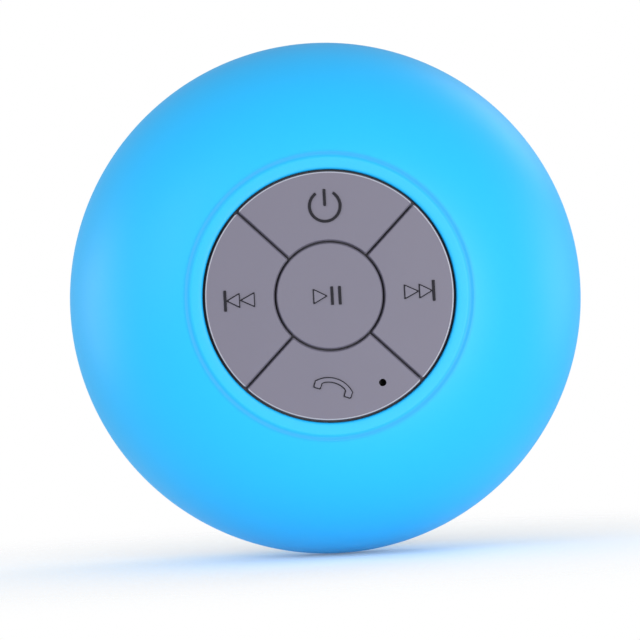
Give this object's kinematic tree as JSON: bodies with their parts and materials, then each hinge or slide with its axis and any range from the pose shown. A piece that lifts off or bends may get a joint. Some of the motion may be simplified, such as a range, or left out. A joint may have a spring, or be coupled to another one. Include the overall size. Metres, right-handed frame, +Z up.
{
  "type": "shower speaker",
  "caption": "Round waterproof wireless speaker with a rubber skin, a five-key front pad, a rear-facing driver, a plugged charging port and a swivelling suction cup.",
  "frame": {"origin": "centre of the suction cup's wall face", "axes": "+Y into the wall, -Y out of the keypad, +Z up through the power key, +X to the right of a person facing the keypad"},
  "size_m": [0.086, 0.0553, 0.086],
  "materials": {
    "skin_blue": "soft satin silicone",
    "keypad_grey": "satin moulded rubber",
    "membrane_dark": "matt",
    "housing_grey": "fine texture",
    "housing_dark": "fine texture",
    "seal_black": "matt",
    "switch_metal": "plain",
    "black_plastic": "matt",
    "board_green": "solder mask",
    "screw_steel": "zinc plated",
    "shield_metal": "plain",
    "chip_black": "matt",
    "capacitor_tan": "plain",
    "battery_foil": "satin foil",
    "foam_black": "foam",
    "wire_red": "insulation",
    "wire_black": "insulation",
    "connector_white": "plain",
    "magnet_dark": "plain",
    "plate_steel": "zinc plated",
    "coil_copper": "enamelled wire",
    "spider_cloth": "varnished cloth",
    "cone_paper": "coated",
    "dust_black": "satin",
    "surround_rubber": "matt",
    "mesh_cloth": "woven",
    "jack_steel": "plated",
    "stud_plastic": "natural",
    "cup_clear_blue": "clear tinted soft plastic"
  },
  "bodies": {
    "wall_cup": {"suction_cup": "cup_clear_blue"},
    "stud": {"cup_stud": "stud_plastic"},
    "housing": {"silicone_skin": "skin_blue", "front_housing": "housing_dark", "rear_housing": "housing_grey", "housing_seal": "seal_black", "keypad_membrane": "membrane_dark", "tact_switches": "switch_metal", "main_pcb": "board_green", "pcb_screws": "screw_steel", "radio_module": "shield_metal", "ic_chips": "chip_black", "capacitors": "capacitor_tan", "microphone_capsule": "shield_metal", "microphone_boot": "seal_black", "battery_cell": "battery_foil", "battery_pad": "foam_black", "battery_leads": "wire_red", "battery_connector": "connector_white", "speaker_basket": "black_plastic", "speaker_top_plate": "plate_steel", "speaker_magnet": "magnet_dark", "speaker_yoke": "plate_steel", "speaker_gasket": "foam_black", "speaker_clamp_ring": "black_plastic", "speaker_screws": "screw_steel", "speaker_leads": "wire_black", "speaker_connector": "connector_white", "water_mesh": "mesh_cloth", "housing_screws": "screw_steel", "charging_jack": "jack_steel", "charging_board": "board_green", "charging_screws": "screw_steel", "charging_leads": "wire_red", "port_plug_anchor": "keypad_grey", "stud_socket": "housing_dark"},
    "key_power_body": {"key_power": "keypad_grey", "switch_plunger_power": "black_plastic"},
    "key_previous_body": {"key_previous": "keypad_grey", "switch_plunger_previous": "black_plastic"},
    "key_next_body": {"key_next": "keypad_grey", "switch_plunger_next": "black_plastic"},
    "key_call_body": {"key_call": "keypad_grey", "switch_plunger_call": "black_plastic"},
    "key_play_pause_body": {"key_play_pause": "keypad_grey", "switch_plunger_play_pause": "black_plastic"},
    "cone": {"speaker_cone": "cone_paper", "voice_coil": "coil_copper", "dust_cap": "dust_black", "speaker_surround": "surround_rubber", "spider": "spider_cloth"},
    "plug": {"port_plug": "keypad_grey"}
  },
  "joints": [
    {"name": "cup_press", "type": "slide", "parent": "wall_cup", "child": "stud", "axis": [0, 1, 0], "range_m": [0, 0.0035], "stiffness_N_per_m": 4000, "deforming": ["suction_cup"]},
    {"name": "swivel", "type": "hinge", "parent": "stud", "child": "housing", "pos_m": [0, -0.015, 0], "axis": [0, 1, 0], "continuous": true},
    {"name": "press_power", "type": "slide", "parent": "housing", "child": "key_power_body", "axis": [0, 1, 0], "range_m": [0, 0.0006], "stiffness_N_per_m": 1500},
    {"name": "press_previous", "type": "slide", "parent": "housing", "child": "key_previous_body", "axis": [0, 1, 0], "range_m": [0, 0.0006], "stiffness_N_per_m": 1500},
    {"name": "press_next", "type": "slide", "parent": "housing", "child": "key_next_body", "axis": [0, 1, 0], "range_m": [0, 0.0006], "stiffness_N_per_m": 1500},
    {"name": "press_call", "type": "slide", "parent": "housing", "child": "key_call_body", "axis": [0, 1, 0], "range_m": [0, 0.0006], "stiffness_N_per_m": 1500},
    {"name": "press_play_pause", "type": "slide", "parent": "housing", "child": "key_play_pause_body", "axis": [0, 1, 0], "range_m": [0, 0.0006], "stiffness_N_per_m": 1500},
    {"name": "cone_throw", "type": "slide", "parent": "housing", "child": "cone", "axis": [0, 1, 0], "range_m": [-0.001, 0.001], "stiffness_N_per_m": 1500, "deforming": ["speaker_surround", "spider"]},
    {"name": "plug_fold", "type": "hinge", "parent": "housing", "child": "plug", "pos_m": [0, -0.013, -0.0299], "axis": [-1, 0, 0], "range_deg": [0, 150], "stiffness_Nm_per_rad": 0.002}
  ]
}
